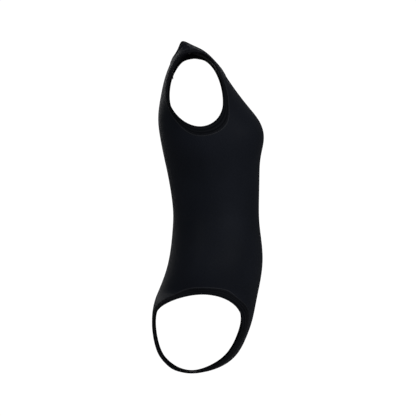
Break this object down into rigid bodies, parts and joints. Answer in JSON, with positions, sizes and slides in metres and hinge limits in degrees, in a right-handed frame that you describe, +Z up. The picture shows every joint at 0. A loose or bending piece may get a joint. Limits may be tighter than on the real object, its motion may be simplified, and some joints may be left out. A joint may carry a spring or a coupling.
{
  "type": "gymnastics leotard",
  "caption": "Sleeveless black stretch leotard with a scoop neck, full back, medium leg cut and bound edges, shown filled as if worn, with a blank swinging care label.",
  "frame": {"origin": "middle of the bounding box's bottom, under the lowest point of the crotch", "axes": "+Z up along the body, the wearer faces -Y, +X towards the wearer's left"},
  "size_m": [0.3122, 0.2271, 0.669],
  "materials": {
    "shell": "black nylon and elastane knit, smooth with a soft sheen",
    "lining": "matte black lining knit",
    "binding": "matte black folded binding with fine lengthwise ribs",
    "elastic": "matte black flat elastic",
    "thread": "black polyester thread",
    "tape": "pale translucent stay tape",
    "label": "black satin ribbon, blank"
  },
  "bodies": {
    "leotard": {"front_panel": "shell", "back_panel": "shell", "crotch_lining": "lining", "neck_binding": "binding", "left_armhole_binding": "binding", "right_armhole_binding": "binding", "left_leg_binding": "binding", "right_leg_binding": "binding", "neck_elastic": "elastic", "left_armhole_elastic": "elastic", "right_armhole_elastic": "elastic", "left_leg_elastic": "elastic", "right_leg_elastic": "elastic", "neck_stitching": "thread", "left_armhole_stitching": "thread", "right_armhole_stitching": "thread", "left_leg_stitching": "thread", "right_leg_stitching": "thread", "left_side_seam": "thread", "right_side_seam": "thread", "crotch_seam": "thread", "left_shoulder_tape": "tape", "right_shoulder_tape": "tape"},
    "label": {"care_label": "label"}
  },
  "joints": [
    {"name": "label_swing", "type": "hinge", "parent": "leotard", "child": "label", "pos_m": [0, 0.06972, 0.62962], "axis": [-1, 0, 0], "range_deg": [0, 120]}
  ]
}
